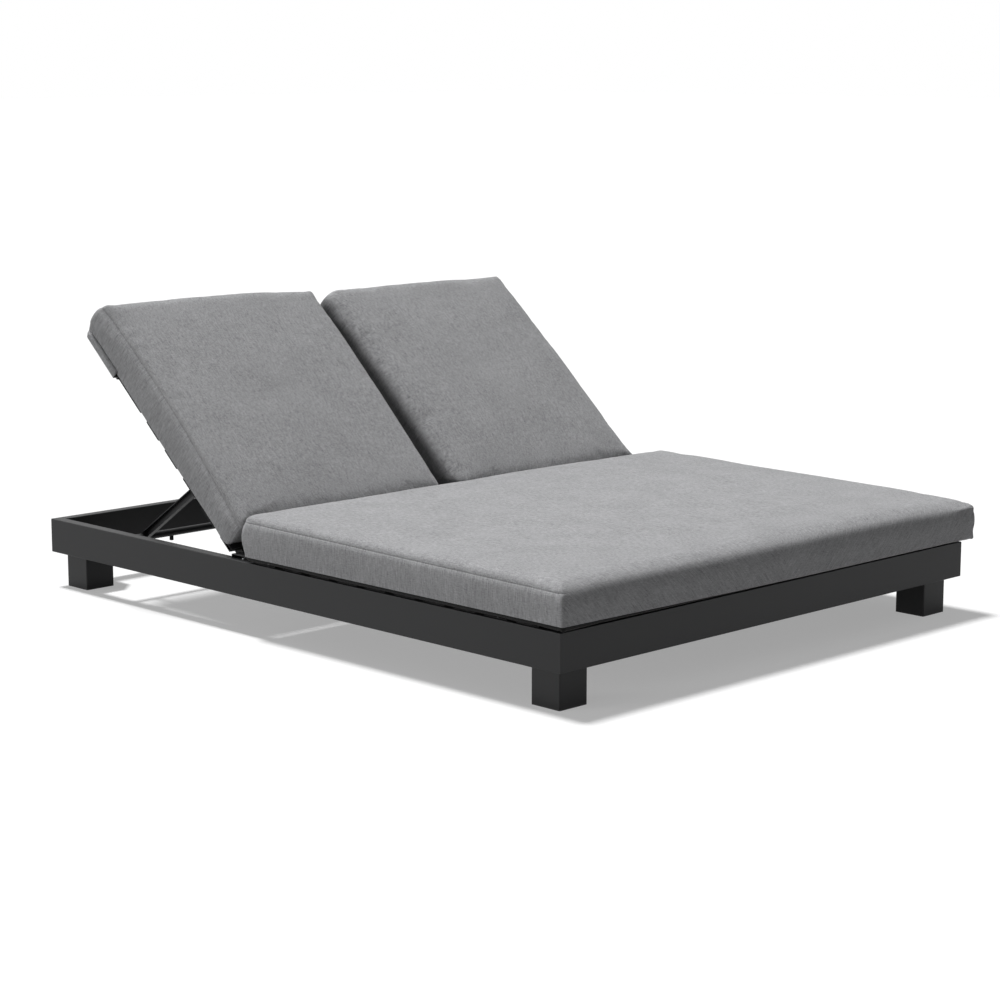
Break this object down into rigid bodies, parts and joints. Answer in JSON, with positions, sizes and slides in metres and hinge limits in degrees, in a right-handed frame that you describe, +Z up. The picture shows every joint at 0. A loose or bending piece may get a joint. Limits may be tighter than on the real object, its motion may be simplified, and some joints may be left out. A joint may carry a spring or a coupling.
{
  "type": "double chaise lounger",
  "caption": "Low, wide sun lounger for two: a square-legged aluminium frame, one deep seat cushion and two backrests that tilt separately on propped hinges.",
  "frame": {"origin": "on the floor under the middle of the lounger's box, with the backrests tilted as stored", "axes": "+Y from the foot towards the head, +Z up from the floor, +X across the width"},
  "size_m": [1.58, 2.02, 0.8036],
  "materials": {
    "powder_coat": "satin",
    "zinc_steel": "satin",
    "glide_plastic": "matte",
    "seat_fabric": "matte"
  },
  "bodies": {
    "base": {"rail_left": "powder_coat", "rail_right": "powder_coat", "rail_head": "powder_coat", "rail_foot": "powder_coat", "leg_head_left": "powder_coat", "leg_head_right": "powder_coat", "leg_foot_left": "powder_coat", "leg_foot_right": "powder_coat", "corner_gussets": "powder_coat", "centre_beam": "powder_coat", "hinge_beam": "powder_coat", "spine_beam": "powder_coat", "seat_slat_01": "powder_coat", "seat_slat_02": "powder_coat", "seat_slat_03": "powder_coat", "seat_slat_04": "powder_coat", "seat_slat_05": "powder_coat", "seat_slat_06": "powder_coat", "seat_slat_07": "powder_coat", "seat_slat_08": "powder_coat", "seat_slat_09": "powder_coat", "seat_slat_10": "powder_coat", "seat_slat_11": "powder_coat", "hinge_bracket_left_outer": "powder_coat", "hinge_bracket_left_inner": "powder_coat", "hinge_bracket_right_outer": "powder_coat", "hinge_bracket_right_inner": "powder_coat", "rack_left_outer": "powder_coat", "rack_left_inner": "powder_coat", "rack_right_outer": "powder_coat", "rack_right_inner": "powder_coat", "leg_bolts": "zinc_steel", "seat_slat_screws": "zinc_steel", "hinge_pins": "zinc_steel", "leg_glides": "glide_plastic", "seat_cushion": "seat_fabric"},
    "left_backrest": {"left_side_bar_outer": "powder_coat", "left_side_bar_inner": "powder_coat", "left_back_slats": "powder_coat", "left_head_panel": "powder_coat", "left_back_screws": "zinc_steel", "left_prop_pins": "zinc_steel", "left_hood": "seat_fabric", "left_back_cushion": "seat_fabric"},
    "left_prop": {"left_prop_arm_outer": "powder_coat", "left_prop_arm_inner": "powder_coat", "left_foot_bar": "powder_coat"},
    "right_backrest": {"right_side_bar_outer": "powder_coat", "right_side_bar_inner": "powder_coat", "right_back_slats": "powder_coat", "right_head_panel": "powder_coat", "right_back_screws": "zinc_steel", "right_prop_pins": "zinc_steel", "right_hood": "seat_fabric", "right_back_cushion": "seat_fabric"},
    "right_prop": {"right_prop_arm_outer": "powder_coat", "right_prop_arm_inner": "powder_coat", "right_foot_bar": "powder_coat"}
  },
  "joints": [
    {"name": "left_recline", "type": "hinge", "parent": "base", "child": "left_backrest", "pos_m": [0, 0.245, 0.18], "axis": [1, 0, 0], "range_deg": [-41.35, 18.65]},
    {"name": "left_prop_swing", "type": "hinge", "parent": "left_backrest", "child": "left_prop", "pos_m": [0, 0.44093, 0.35243], "axis": [1, 0, 0], "range_deg": [-32.18, 71.23]},
    {"name": "right_recline", "type": "hinge", "parent": "base", "child": "right_backrest", "pos_m": [0, 0.245, 0.18], "axis": [1, 0, 0], "range_deg": [-41.35, 18.65]},
    {"name": "right_prop_swing", "type": "hinge", "parent": "right_backrest", "child": "right_prop", "pos_m": [0, 0.44093, 0.35243], "axis": [1, 0, 0], "range_deg": [-32.18, 71.23]}
  ],
  "couplings": [
    {"joint": "left_prop_swing", "follows": "left_recline", "ratio": -1.7201},
    {"joint": "right_prop_swing", "follows": "right_recline", "ratio": -1.7201}
  ]
}
